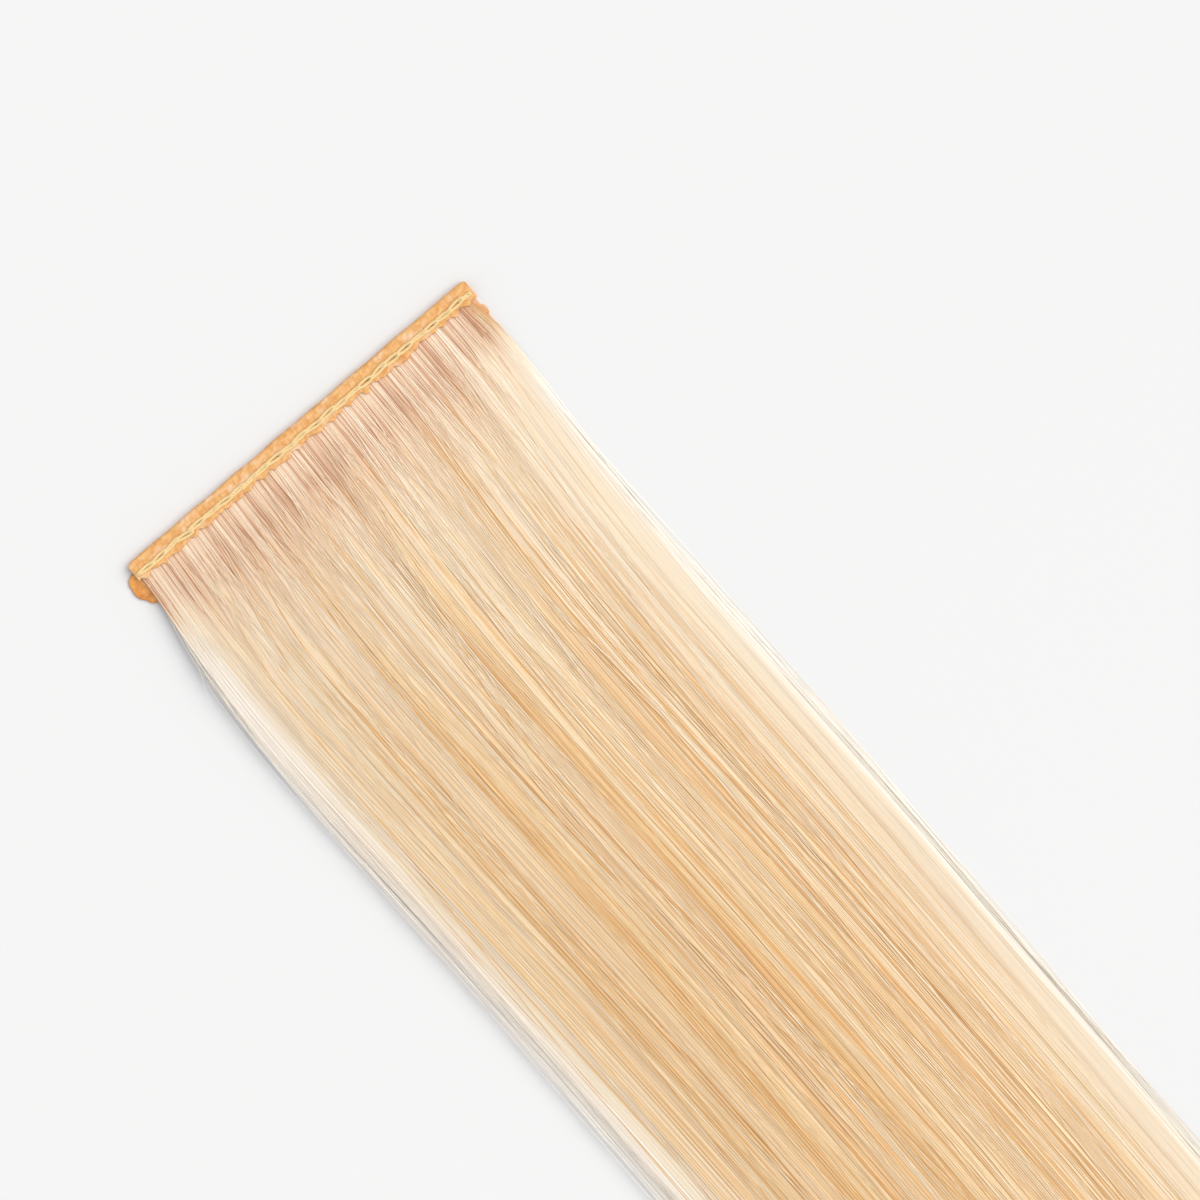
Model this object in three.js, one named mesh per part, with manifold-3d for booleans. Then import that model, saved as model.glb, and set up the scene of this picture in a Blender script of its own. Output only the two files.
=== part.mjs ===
// Tape-in hair extension: a flat lock of straight hair whose roots lie in a folded band, sewn through with
// one row of thread and backed by a strip of adhesive tape.
// Millimetres, +Z up. The origin is the middle of the tape's sticky underside, +X runs along the tape, and
// the hair lies towards -Y on the same surface as the tape.

import * as THREE from 'three';
import { mergeVertices } from 'three/addons/utils/BufferGeometryUtils.js';
import Module from 'manifold-3d';

const wasm = await Module();
wasm.setup();

// Driving dimensions of the head
const TAPE_LENGTH = 40;
const TAPE_DEPTH = 8;
const TAPE_THICKNESS = 0.15;
const TAPE_CORNER_RADIUS = 0.4;
const LAYER_GAP = 0.05;
const BAND_THICKNESS = 0.14;
const BAND_SLOT = 0.4;
const TOP_FLANGE_DEPTH = 2;
const BOTTOM_FLANGE_DEPTH = 4.5;
const BAND_OVERHANG_LEFT = 0.3;
const BAND_OVERHANG_RIGHT = 0.2;
const THREAD_ROW_FROM_EDGE = 1.35;
const THREAD_ROW_WIDTH = 0.75;
const THREAD_ROW_HEIGHT = 0.22;
const THREAD_ROW_SETBACK = 0.1;
const ARC_STEPS = 8;

// The bottom flange's pressed left end, which shows past the fold: where it starts and stops behind the
// outer edge, how far it sticks out along the tape, and how far it runs into the flange
const FLANGE_END_START = 1;
const FLANGE_END_STOP = 4.4;
const FLANGE_END_RADIUS = 0.6;
const FLANGE_END_REACH = 1.2;
const FLANGE_END_BITE = 1.2;
const FLANGE_END_THINNING = 0.02;

// Driving dimensions of the lock
const HAIR_LENGTH = 350;
const CROWN_EXPONENT = 3;
const FURROW_COUNT = 7;
const FURROW_DEPTH = 0.15;
const TOP_STEPS = 28;
const BOTTOM_STEPS = 4;

// Heights and edges that follow from the driving dimensions
const OUTER_EDGE = TAPE_DEPTH / 2;
const FLANGE_BOTTOM = TAPE_THICKNESS + LAYER_GAP;
const SLOT_BOTTOM = FLANGE_BOTTOM + BAND_THICKNESS;
const SLOT_TOP = SLOT_BOTTOM + BAND_SLOT;
const BAND_TOP = SLOT_TOP + BAND_THICKNESS;
const ROOT_LIFT = SLOT_BOTTOM + LAYER_GAP;
const ROOT_RISE = BAND_SLOT - 2 * LAYER_GAP;
const FOLD_START = TAPE_LENGTH / -2 - BAND_OVERHANG_LEFT;
const FOLD_END = TAPE_LENGTH / 2 + BAND_OVERHANG_RIGHT;

// Sections of the lock from the roots to the tips. along is the distance behind the tape's outer edge,
// centre and half place the section along X, lift is its underside, edge and crown are its heights at the
// sides and in the middle, and back is how much sooner the sides end than the middle. The head holds the
// lock's first centimetres a little above the surface.
const LOCK_SECTIONS = [
  { along: 0.6, centre: -0.1, half: 19.8, lift: ROOT_LIFT, edge: 0.25, crown: ROOT_RISE, back: 0 },
  { along: 2.3, centre: -0.1, half: 19.9, lift: ROOT_LIFT, edge: 0.25, crown: ROOT_RISE, back: 0 },
  { along: 5, centre: -0.25, half: 20.2, lift: ROOT_LIFT, edge: 0.3, crown: 0.45, back: 0 },
  { along: 8.6, centre: -0.45, half: 20.4, lift: ROOT_LIFT, edge: 0.3, crown: 0.65, back: 0 },
  { along: 12, centre: -0.65, half: 20.5, lift: ROOT_LIFT, edge: 0.35, crown: 0.8, back: 0 },
  { along: 16, centre: -0.85, half: 20.5, lift: ROOT_LIFT, edge: 0.4, crown: 0.95, back: 0 },
  { along: 25, centre: -0.95, half: 20.5, lift: ROOT_LIFT, edge: 0.4, crown: 1.1, back: 0 },
  { along: 40, centre: -0.55, half: 20.4, lift: 0.3, edge: 0.4, crown: 1.2, back: 0 },
  { along: 60, centre: -0.05, half: 20.3, lift: 0.12, edge: 0.4, crown: 1.3, back: 0 },
  { along: 85, centre: 0, half: 20.3, lift: 0, edge: 0.35, crown: 1.4, back: 0 },
  { along: 130, centre: 0, half: 20.3, lift: 0, edge: 0.3, crown: 1.4, back: 0 },
  { along: 210, centre: 0, half: 20, lift: 0, edge: 0.3, crown: 1.35, back: 0 },
  { along: 280, centre: 0, half: 19.2, lift: 0, edge: 0.3, crown: 1.2, back: 1 },
  { along: 320, centre: 0, half: 18.4, lift: 0, edge: 0.25, crown: 1, back: 3 },
  { along: 340, centre: 0, half: 17.6, lift: 0, edge: 0.2, crown: 0.8, back: 5 },
  { along: HAIR_LENGTH, centre: 0, half: 16.8, lift: 0, edge: 0.2, crown: 0.5, back: 7 },
];
const TALLEST_CROWN = Math.max(...LOCK_SECTIONS.map((section) => section.crown));

// Finishes
const FINISHES = {
  adhesive_tape: { color: '#e7bda2', roughness: 0.35 },
  folded_band: { color: '#f0b676', roughness: 0.45 },
  stitch_row: { color: '#f8dc9c', roughness: 0.7 },
  hair_lock: { color: '#ebc791', roughness: 0.5 },
};

// Boolean join of closed geometries
function toSolid(geometry) {
  const bare = geometry.clone();
  bare.deleteAttribute('normal');
  bare.deleteAttribute('uv');
  const merged = mergeVertices(bare);
  return new wasm.Manifold(new wasm.Mesh({
    numProp: 3,
    vertProperties: new Float32Array(merged.attributes.position.array),
    triVerts: new Uint32Array(merged.index.array),
  }));
}

function join(first, second) {
  const mesh = toSolid(first).add(toSolid(second)).getMesh();
  const geometry = new THREE.BufferGeometry();
  geometry.setAttribute('position', new THREE.BufferAttribute(mesh.vertProperties, mesh.numProp));
  geometry.setIndex(new THREE.BufferAttribute(mesh.triVerts, 1));
  return geometry;
}

// A rectangle with round corners, from its low corner to its high corner
function roundRectangle(low, high, radius) {
  const shape = new THREE.Shape();
  shape.absarc(high.x - radius, low.y + radius, radius, -Math.PI / 2, 0);
  shape.absarc(high.x - radius, high.y - radius, radius, 0, Math.PI / 2);
  shape.absarc(low.x + radius, high.y - radius, radius, Math.PI / 2, Math.PI);
  shape.absarc(low.x + radius, low.y + radius, radius, Math.PI, Math.PI * 1.5);
  shape.closePath();
  return shape;
}

function plate(shape, bottom, top) {
  const geometry = new THREE.ExtrudeGeometry(shape, {
    depth: top - bottom,
    bevelEnabled: false,
    curveSegments: ARC_STEPS,
  });
  return geometry.translate(0, 0, bottom);
}

// A profile drawn in Y and Z, run along X
function alongX(profile, start, end) {
  const geometry = new THREE.ExtrudeGeometry(profile, {
    depth: end - start,
    bevelEnabled: false,
    curveSegments: ARC_STEPS,
  });
  const axes = new THREE.Matrix4().makeBasis(
    new THREE.Vector3(0, 1, 0),
    new THREE.Vector3(0, 0, 1),
    new THREE.Vector3(1, 0, 0),
  );
  return geometry.applyMatrix4(axes).translate(start, 0, 0);
}

// The sticky strip under the head
function adhesiveTape() {
  const half = new THREE.Vector2(TAPE_LENGTH / 2, TAPE_DEPTH / 2);
  const outline = roundRectangle(half.clone().negate(), half, TAPE_CORNER_RADIUS);
  return plate(outline, 0, TAPE_THICKNESS);
}

// The folded strip: a long bottom flange, a round fold at the outer edge and a short top flange
function foldProfile() {
  const foldRadius = (BAND_TOP - FLANGE_BOTTOM) / 2;
  const foldY = OUTER_EDGE - foldRadius;
  const foldZ = FLANGE_BOTTOM + foldRadius;
  const profile = new THREE.Shape();
  profile.moveTo(OUTER_EDGE - BOTTOM_FLANGE_DEPTH, FLANGE_BOTTOM);
  profile.absarc(foldY, foldZ, foldRadius, -Math.PI / 2, Math.PI / 2, false);
  profile.lineTo(OUTER_EDGE - TOP_FLANGE_DEPTH, BAND_TOP);
  profile.lineTo(OUTER_EDGE - TOP_FLANGE_DEPTH, SLOT_TOP);
  profile.absarc(foldY, foldZ, foldRadius - BAND_THICKNESS, Math.PI / 2, -Math.PI / 2, true);
  profile.lineTo(OUTER_EDGE - BOTTOM_FLANGE_DEPTH, SLOT_BOTTOM);
  profile.closePath();
  return profile;
}

function flangeEnd() {
  const outline = roundRectangle(
    new THREE.Vector2(FOLD_START - FLANGE_END_REACH, OUTER_EDGE - FLANGE_END_STOP),
    new THREE.Vector2(FOLD_START + FLANGE_END_BITE, OUTER_EDGE - FLANGE_END_START),
    FLANGE_END_RADIUS,
  );
  return plate(outline, FLANGE_BOTTOM + FLANGE_END_THINNING, SLOT_BOTTOM - FLANGE_END_THINNING);
}

function foldedBand() {
  return join(alongX(foldProfile(), FOLD_START, FOLD_END), flangeEnd());
}

// The raised row of thread on the top flange, flat below and round above
function stitchRow() {
  const bottom = BAND_TOP + LAYER_GAP;
  const middle = OUTER_EDGE - THREAD_ROW_FROM_EDGE;
  const profile = new THREE.Shape();
  profile.absellipse(middle, bottom, THREAD_ROW_WIDTH / 2, THREAD_ROW_HEIGHT, 0, Math.PI, false);
  profile.closePath();
  return alongX(profile, FOLD_START + THREAD_ROW_SETBACK, FOLD_END - THREAD_ROW_SETBACK);
}

// One cross-section of the lock as a ring: along the underside, then back over the furrowed crown
function lockRing(section) {
  const ring = [];
  const place = (side, height) => new THREE.Vector3(
    section.centre + side * section.half,
    OUTER_EDGE - section.along + section.back * side * side,
    section.lift + height,
  );
  for (let step = 0; step <= BOTTOM_STEPS; step += 1) {
    ring.push(place(-1 + 2 * step / BOTTOM_STEPS, 0));
  }
  const rise = section.crown - section.edge;
  const furrowDepth = FURROW_DEPTH * rise / TALLEST_CROWN;
  for (let step = 0; step <= TOP_STEPS; step += 1) {
    const side = 1 - 2 * step / TOP_STEPS;
    const dome = 1 - Math.abs(side) ** CROWN_EXPONENT;
    const furrow = 0.5 - 0.5 * Math.cos(Math.PI * FURROW_COUNT * (side + 1));
    ring.push(place(side, section.edge + dome * (rise - furrowDepth * furrow)));
  }
  return ring;
}

// A closed skin over rings of equal length that follow each other towards -Y
function loft(rings) {
  const count = rings[0].length;
  const indices = [];
  for (let row = 0; row + 1 < rings.length; row += 1) {
    for (let column = 0; column < count; column += 1) {
      const next = (column + 1) % count;
      const corners = [column, next, next + count, column + count].map((index) => index + row * count);
      indices.push(corners[0], corners[1], corners[2], corners[0], corners[2], corners[3]);
    }
  }
  const cap = (ring) => THREE.ShapeUtils.triangulateShape(
    ring.map((point) => new THREE.Vector2(point.x, point.z)),
    [],
  );
  const last = (rings.length - 1) * count;
  for (const [a, b, c] of cap(rings[0])) {
    indices.push(a, c, b);
  }
  for (const [a, b, c] of cap(rings.at(-1))) {
    indices.push(last + a, last + b, last + c);
  }
  const geometry = new THREE.BufferGeometry().setFromPoints(rings.flat());
  geometry.setIndex(indices);
  return geometry;
}

function hairLock() {
  return loft(LOCK_SECTIONS.map(lockRing));
}

function piece(name, geometry) {
  geometry.computeVertexNormals();
  const material = new THREE.MeshStandardMaterial({ ...FINISHES[name], metalness: 0 });
  const mesh = new THREE.Mesh(geometry, material);
  mesh.name = name;
  return mesh;
}

const extension = new THREE.Group();
extension.add(
  piece('adhesive_tape', adhesiveTape()),
  piece('folded_band', foldedBand()),
  piece('stitch_row', stitchRow()),
  piece('hair_lock', hairLock()),
);

export default extension;
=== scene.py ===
"""Tape-in hair extension: its sewn, taped head, its strands and a plain stage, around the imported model."""

import math
from collections import namedtuple

import bpy
import numpy as np
from bpy.props import FloatProperty, FloatVectorProperty, IntProperty, PointerProperty
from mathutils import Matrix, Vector
from mathutils.bvhtree import BVHTree


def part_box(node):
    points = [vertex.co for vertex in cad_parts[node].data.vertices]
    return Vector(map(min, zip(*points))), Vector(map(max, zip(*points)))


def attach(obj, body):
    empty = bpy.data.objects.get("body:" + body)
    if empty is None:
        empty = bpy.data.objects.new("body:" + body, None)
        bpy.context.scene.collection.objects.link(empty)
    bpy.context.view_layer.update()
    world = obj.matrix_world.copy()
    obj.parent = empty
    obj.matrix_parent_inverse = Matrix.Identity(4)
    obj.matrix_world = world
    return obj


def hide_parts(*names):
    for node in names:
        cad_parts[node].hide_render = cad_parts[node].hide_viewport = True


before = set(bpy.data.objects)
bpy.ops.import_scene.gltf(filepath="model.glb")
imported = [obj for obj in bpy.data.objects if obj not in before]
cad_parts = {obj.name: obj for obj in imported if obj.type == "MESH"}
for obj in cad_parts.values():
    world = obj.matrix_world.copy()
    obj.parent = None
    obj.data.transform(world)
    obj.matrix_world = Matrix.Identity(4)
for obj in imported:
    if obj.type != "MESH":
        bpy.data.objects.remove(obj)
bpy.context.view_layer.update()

bl_info = {
    "name": "Tape-in Hair Extension",
    "version": (1, 0, 0),
    "blender": (4, 5, 0),
    "location": "View3D > Sidebar > Hair Tape",
    "description": "Builds a flat lock of straight hair with its folded, sewn and taped head",
    "category": "Add Mesh",
}

MM = 0.001
BODY = "root"

# Steps from the seed to each use of random draws
CLUMP_SEED = 1
DRIFT_SEED = 2
BAND_SEED = 5
THREAD_SEED = 6
LAYER_SEED = 10
LOOSE_SEED = 20

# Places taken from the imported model
TAPE_LOW, TAPE_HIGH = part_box("adhesive_tape")
BAND_LOW, BAND_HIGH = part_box("folded_band")
SEAM_LOW, SEAM_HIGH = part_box("stitch_row")
LOCK_LOW, LOCK_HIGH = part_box("hair_lock")
HEAD_EDGE = BAND_HIGH.y
SEAM_SETBACK = 0.1 * MM
FOLD_LEFT = SEAM_LOW.x - SEAM_SETBACK
FOLD_RIGHT = SEAM_HIGH.x + SEAM_SETBACK
LOCK_LENGTH = HEAD_EDGE - LOCK_LOW.y


def linear(code):
    """Linear colour of a screen colour written as #rrggbb."""
    parts = [int(code[start:start + 2], 16) / 255 for start in (1, 3, 5)]
    return tuple(part / 12.92 if part <= 0.04045 else ((part + 0.055) / 1.055) ** 2.4 for part in parts)


def smoothstep(low, high, value):
    """0 at low and 1 at high, eased at both ends; low may be the larger one."""
    share = np.clip((value - low) / (high - low), 0.0, 1.0)
    return share * share * (3.0 - 2.0 * share)


def span(low, high):
    """Two lengths given in millimetres."""
    return low * MM, high * MM


def length_property(name, description, default):
    return FloatProperty(name=name, description=description, default=default, unit="LENGTH", precision=6)


def angle_property(name, description, degrees):
    return FloatProperty(name=name, description=description, default=math.radians(degrees), subtype="ANGLE")


def colour_property(name, description, code):
    return FloatVectorProperty(
        name=name, description=description, default=linear(code), subtype="COLOR", min=0.0, max=1.0)


class HeadSettings(bpy.types.PropertyGroup):
    """Sizes and colours of the tape, the folded band and the thread."""

    band_thickness: length_property("Band thickness", "Thickness of the folded strip", 0.14 * MM)
    top_flange: length_property("Top flange", "Depth of the band's sewn top flange", 2.1 * MM)
    scallop: length_property("Scallop", "How far the top flange's edge draws in at the stitches", 0.3 * MM)
    pebble: length_property("Pebble", "Height of the band's pebbled surface", 0.028 * MM)
    stitch_pitch: length_property("Stitch pitch", "Distance between needle holes", 1.55 * MM)
    thread_width: length_property("Thread width", "Diameter of the sewing thread", 0.31 * MM)
    loop_width: length_property("Loop width", "Width of one chain loop", 0.5 * MM)
    tape_colour: colour_property("Tape", "Peach of the adhesive strip", "#e9b795")
    tape_pale: colour_property("Tape fibres", "Paler fibres in the adhesive strip", "#f3d3bb")
    band_colour: colour_property("Band", "Orange of the folded strip", "#e6b373")
    # The band's darker and paler colours go on in random patches
    band_deep: colour_property("Band creases", "Deeper orange in the band's hollows", "#d89b56")
    band_pale: colour_property("Band bloom", "Peach bloom on the band's worn places", "#ebc6a2")
    # Tab colours: painted shade, the band's flattened left end drawn darker and stronger orange than the
    # rest, with darker patches at random
    tab_painted_shade: colour_property("Tab", "Strong orange of the band's pressed end", "#e6a252")
    tab_painted_shade_deep: colour_property("Tab shade", "Brown orange of the pressed end's hollows", "#cc8038")
    thread_colour: colour_property("Thread", "Pale yellow of the thread", "#f5d9a0")
    # Painted shade for the grooves between the thread's plies
    thread_painted_shade: colour_property("Thread shade", "Golden shade between the thread's plies", "#e6bd7c")


class HairSettings(bpy.types.PropertyGroup):
    """Number, size and colours of the strands."""

    seed: IntProperty(name="Seed", description="Start of the random draws", default=11)
    strand_width: length_property("Strand width", "Diameter of one strand", 0.08 * MM)
    clumps: IntProperty(name="Clumps", description="Groups of strands across the lock", default=66, min=2)
    sway: length_property("Sway", "How far groups of strands drift sideways", 0.34 * MM)
    honey: colour_property("Honey", "Darkest strands", "#dba96a")
    golden: colour_property("Golden", "Usual strands", "#e9cb9d")
    cream: colour_property("Cream", "Light strands", "#e9d8bf")
    straw: colour_property("Straw", "Thin strands towards the sides", "#e9dac0")
    pale: colour_property("Pale", "Palest strands, along the sides", "#f6f2ea")
    # Over the tape the deeper layers' painted shade reaches towards the root shade colour
    root_dark: colour_property("Root shade", "Darkest strands over the tape", "#ae7854")
    root_mid: colour_property("Root", "Usual strands over the tape", "#ddb798")
    root_cream: colour_property("Root light", "Pale strands over the tape", "#f0dcc0")
    root_pale: colour_property("Root edge", "Palest strands over the tape", "#ebe3d2")


class StageSettings(bpy.types.PropertyGroup):
    """Floor, lights and camera."""

    floor_colour: colour_property("Floor", "Pale surface under the lock", "#dfdfdf")
    fill_colour: colour_property("Fill", "Light from all round", "#f8f9ff")
    fill_strength: FloatProperty(
        name="Fill strength", description="Strength of the light from all round", default=0.75)
    key_colour: colour_property("Key", "Colour of the main light", "#fffdf4")
    key_strength: FloatProperty(name="Key strength", description="Strength of the main light", default=2.14)
    key_height: angle_property("Key height", "Main light above the floor", 52)
    key_turn: angle_property("Key turn", "Main light turned up from the picture's right", 22)
    key_softness: angle_property("Key softness", "Spread of the main light", 60)
    view_width: length_property("View width", "Width of floor in the picture", 110.1 * MM)
    view_height: length_property("View height", "Camera above the floor", 0.55)
    view_x: length_property("View X", "Middle of the picture along the tape", 10.76 * MM)
    view_y: length_property("View Y", "Middle of the picture along the hair", -26.5 * MM)
    view_roll: angle_property("View roll", "Turn of the camera", -40.31)


# Node helpers
def place(tree, kind, values=None, **options):
    """A new node with its options set and each input given a value or a socket to link from."""
    made = tree.nodes.new(kind)
    for name, option in options.items():
        setattr(made, name, option)
    for name, value in (values or {}).items():
        if isinstance(value, bpy.types.NodeSocket):
            tree.links.new(value, made.inputs[name])
        else:
            made.inputs[name].default_value = value
    return made


def solid_colour(colour):
    return (*colour, 1.0)


def mix_colours(tree, share, first, second, way="MIX"):
    """Socket of two colours, given as sockets or as RGB, mixed by share."""
    made = place(tree, "ShaderNodeMix", data_type="RGBA", blend_type=way)
    factor, first_input, second_input = made.inputs[0], made.inputs[6], made.inputs[7]
    for socket, value in ((factor, share), (first_input, first), (second_input, second)):
        if isinstance(value, bpy.types.NodeSocket):
            tree.links.new(value, socket)
        else:
            socket.default_value = value if socket == factor else solid_colour(value)
    return made.outputs[2]


def remap(tree, share, low, high):
    """Socket of a share from 0 to 1, eased into another range."""
    made = place(tree, "ShaderNodeMapRange", {
        "Value": share, "From Min": 0.0, "From Max": 1.0, "To Min": low, "To Max": high,
    }, interpolation_type="SMOOTHSTEP")
    return made.outputs["Result"]


def colour_ramp(tree, value, colours):
    """Socket of a value turned into evenly spread colours."""
    made = place(tree, "ShaderNodeValToRGB", {"Fac": value})
    stops = made.color_ramp.elements
    while len(stops) < len(colours):
        stops.new(0.5)
    for index, colour in enumerate(colours):
        stops[index].position = index / (len(colours) - 1)
        stops[index].color = solid_colour(colour)
    return made.outputs["Color"]


def mottle_group():
    """Shared grain: a soft random mask in the piece's own space, stretched along its axes."""
    name = "Mottle"
    if name in bpy.data.node_groups:
        return bpy.data.node_groups[name]
    tree = bpy.data.node_groups.new(name, "ShaderNodeTree")
    tree.interface.new_socket("Stretch", in_out="INPUT", socket_type="NodeSocketVector")
    for number in ("Detail", "Low", "High"):
        tree.interface.new_socket(number, in_out="INPUT", socket_type="NodeSocketFloat")
    tree.interface.new_socket("Mask", in_out="OUTPUT", socket_type="NodeSocketFloat")
    given = place(tree, "NodeGroupInput")
    where = place(tree, "ShaderNodeTexCoord")
    stretched = place(tree, "ShaderNodeVectorMath", {
        0: where.outputs["Object"], 1: given.outputs["Stretch"],
    }, operation="MULTIPLY")
    noise = place(tree, "ShaderNodeTexNoise", {
        "Vector": stretched.outputs["Vector"], "Scale": 1.0, "Detail": given.outputs["Detail"],
    })
    mask = place(tree, "ShaderNodeMapRange", {
        "Value": noise.outputs["Fac"], "From Min": given.outputs["Low"], "From Max": given.outputs["High"],
    })
    place(tree, "NodeGroupOutput", {"Mask": mask.outputs["Result"]})
    return tree


def mottle(tree, grain, detail=2.0, low=0.35, high=0.65):
    """Socket of the shared grain, given its grain size along X, Y and Z in metres."""
    stretch = tuple(1.0 / size for size in grain)
    made = place(tree, "ShaderNodeGroup", {
        "Stretch": stretch, "Detail": detail, "Low": low, "High": high,
    }, node_tree=mottle_group())
    return made.outputs["Mask"]


def stored(tree, name):
    """Socket of a number that a piece's points hold."""
    return place(tree, "ShaderNodeAttribute", attribute_name=name).outputs["Fac"]


def bump(tree, height, distance, strength=1.0):
    made = place(tree, "ShaderNodeBump", {"Height": height, "Distance": distance, "Strength": strength})
    return made.outputs["Normal"]


def new_material(name):
    """A new material and its empty node tree."""
    material = bpy.data.materials.new(name)
    material.use_nodes = True
    material.node_tree.nodes.clear()
    return material, material.node_tree


def finish(tree, values):
    """Give a material its shader, with a value or a socket for each input."""
    shader = place(tree, "ShaderNodeBsdfPrincipled", values)
    place(tree, "ShaderNodeOutputMaterial", {"Surface": shader.outputs["BSDF"]})


# Depth of fine grain on the head's pieces, and how dark the tape's clouds are
FINE_GRAIN = 0.02 * MM
TAPE_CLOUD = 0.86


def adhesive_material(head):
    """Peach adhesive film with paler fibres and a moist gloss."""
    material, tree = new_material("peach_adhesive")
    fibres = mottle(tree, (0.25 * MM, 2.5 * MM, 0.5 * MM), detail=3.0, low=0.4, high=0.7)
    clouds = mottle(tree, (3.0 * MM, 3.0 * MM, 3.0 * MM))
    base = mix_colours(tree, fibres, head.tape_colour, head.tape_pale)
    deep = tuple(TAPE_CLOUD * part for part in head.tape_colour)
    colour = mix_colours(tree, clouds, base, mix_colours(tree, 0.5, base, deep))
    finish(tree, {
        "Base Color": colour,
        "Roughness": remap(tree, clouds, 0.28, 0.45),
        "Normal": bump(tree, fibres, FINE_GRAIN),
    })
    return material


def band_material(head):
    """Pebbled orange strip, darker and paler orange in random patches, with painted shade on its flattened
    end and underside and the bead in the same deeper orange.
    """
    material, tree = new_material("pebbled_orange_band")
    patches = mottle(tree, (0.9 * MM, 0.5 * MM, 0.9 * MM), detail=3.0, low=0.38, high=0.66)
    bloom = mottle(tree, (1.6 * MM, 0.8 * MM, 1.6 * MM), low=0.52, high=0.74)
    grain = mottle(tree, (0.12 * MM, 0.12 * MM, 0.12 * MM))
    pressed = stored(tree, BEAD_AND_PAINTED_SHADE)
    # Darker and paler orange in random patches
    base = mix_colours(tree, patches, head.band_deep, head.band_colour)
    bloomed = mix_colours(tree, bloom, base, head.band_pale)
    # Painted shade for the flattened end and the fold's lower half, also the bead's colour
    tab = mix_colours(tree, patches, head.tab_painted_shade_deep, head.tab_painted_shade)
    colour = mix_colours(tree, pressed, bloomed, tab)
    finish(tree, {
        "Base Color": colour,
        "Roughness": remap(tree, patches, 0.5, 0.36),
        "Normal": bump(tree, grain, FINE_GRAIN, strength=0.6),
    })
    return material


def thread_material(head):
    """Pale twisted thread with painted shade between its plies."""
    material, tree = new_material("pale_sewing_thread")
    crests = stored(tree, PLY_CREST)
    fibres = mottle(tree, (0.05 * MM, 0.05 * MM, 0.05 * MM))
    worn = mottle(tree, (0.6 * MM, 0.6 * MM, 0.6 * MM))
    # Painted shade in the grooves between the plies; the crests keep the thread's pale yellow
    shade = mix_colours(tree, crests, head.thread_painted_shade, head.thread_colour)
    colour = mix_colours(tree, remap(tree, worn, 0.0, 0.4), shade, head.thread_colour)
    finish(tree, {
        "Base Color": colour,
        "Roughness": remap(tree, worn, 0.55, 0.75),
        "Normal": bump(tree, fibres, FINE_GRAIN),
    })
    return material


def hair_material(hair):
    """Blonde strands with tones of their own, painted shade in the deeper layers and painted light along the
    sides, streaked in soft locks and tinted over the tape.
    """
    name = "blonde_hair"
    if name in bpy.data.materials:
        return bpy.data.materials[name]
    material, tree = new_material(name)
    tone = stored(tree, TONE)
    tint = stored(tree, TINT)
    streaks = mottle(tree, (1.3 * MM, 60.0 * MM, 3.0 * MM), low=0.3, high=0.7)
    # The ramp's upper stops are reached through painted light, along the sides and on the loose hairs
    free = colour_ramp(tree, tone, (hair.honey, hair.golden, hair.cream, hair.straw, hair.pale))
    root_tone = stored(tree, ROOT_TONE)
    taped = colour_ramp(tree, root_tone, (hair.root_dark, hair.root_mid, hair.root_cream, hair.root_pale))
    colour = mix_colours(tree, tint, free, taped)
    depth = remap(tree, streaks, 0.16, 0.0)
    streaked = mix_colours(tree, depth, colour, hair.honey, "MULTIPLY")
    finish(tree, {"Base Color": streaked, "Roughness": remap(tree, tone, 0.5, 0.36), "IOR": HAIR_IOR})
    return material


# Object and mesh helpers
def add_object(name, data):
    """A new object in the scene that shows a mesh, a light or a camera."""
    made = bpy.data.objects.new(name, data)
    bpy.context.scene.collection.objects.link(made)
    return made


def new_piece(name, points, faces, material):
    """A smooth mesh object that rides on the part and takes one material."""
    mesh = bpy.data.meshes.new(name)
    mesh.from_pydata(np.asarray(points).reshape(-1, 3).tolist(), [], faces)
    mesh.shade_smooth()
    mesh.materials.append(material)
    piece = add_object(name, mesh)
    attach(piece, BODY)
    return piece


def set_attribute(piece, name, values):
    """Store one number per point under a name that materials can read."""
    attribute = piece.data.attributes.new(name, "FLOAT", "POINT")
    attribute.data.foreach_set("value", np.asarray(values, dtype=np.float32).ravel())


def thick_sheet(outer, inner, start=0):
    """Points and quads of a closed sheet between two grids of points of the same shape."""
    rows, columns = outer.shape[:2]
    front = np.arange(rows * columns).reshape(rows, columns) + start
    back = front + rows * columns

    def quads(grid, flip):
        corners = [grid[:-1, :-1], grid[:-1, 1:], grid[1:, 1:], grid[1:, :-1]]
        return np.stack(corners[::-1] if flip else corners, axis=-1).reshape(-1, 4)

    def rim(front_line, back_line):
        corners = [front_line[:-1], back_line[:-1], back_line[1:], front_line[1:]]
        return np.stack(corners, axis=-1)

    faces = [
        quads(front, False),
        quads(back, True),
        rim(front[0], back[0]),
        rim(front[-1, ::-1], back[-1, ::-1]),
        rim(front[::-1, 0], back[::-1, 0]),
        rim(front[:, -1], back[:, -1]),
    ]
    points = np.concatenate([outer.reshape(-1, 3), inner.reshape(-1, 3)])
    return points, np.concatenate(faces).tolist()


def ripples(rng, count, shortest, longest):
    """A smooth random height over two coordinates, made of crossing waves, about -1 to 1."""
    lengths = rng.uniform(shortest, longest, count)
    turns = rng.uniform(0.0, 2.0 * math.pi, count)
    phases = rng.uniform(0.0, 2.0 * math.pi, count)

    def height(first, second):
        total = np.zeros(np.broadcast(first, second).shape)
        for length, turn, phase in zip(lengths, turns, phases):
            run = first * math.cos(turn) + second * math.sin(turn)
            total += np.sin(2.0 * math.pi * run / length + phase)
        return total / math.sqrt(count)

    return height


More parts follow.
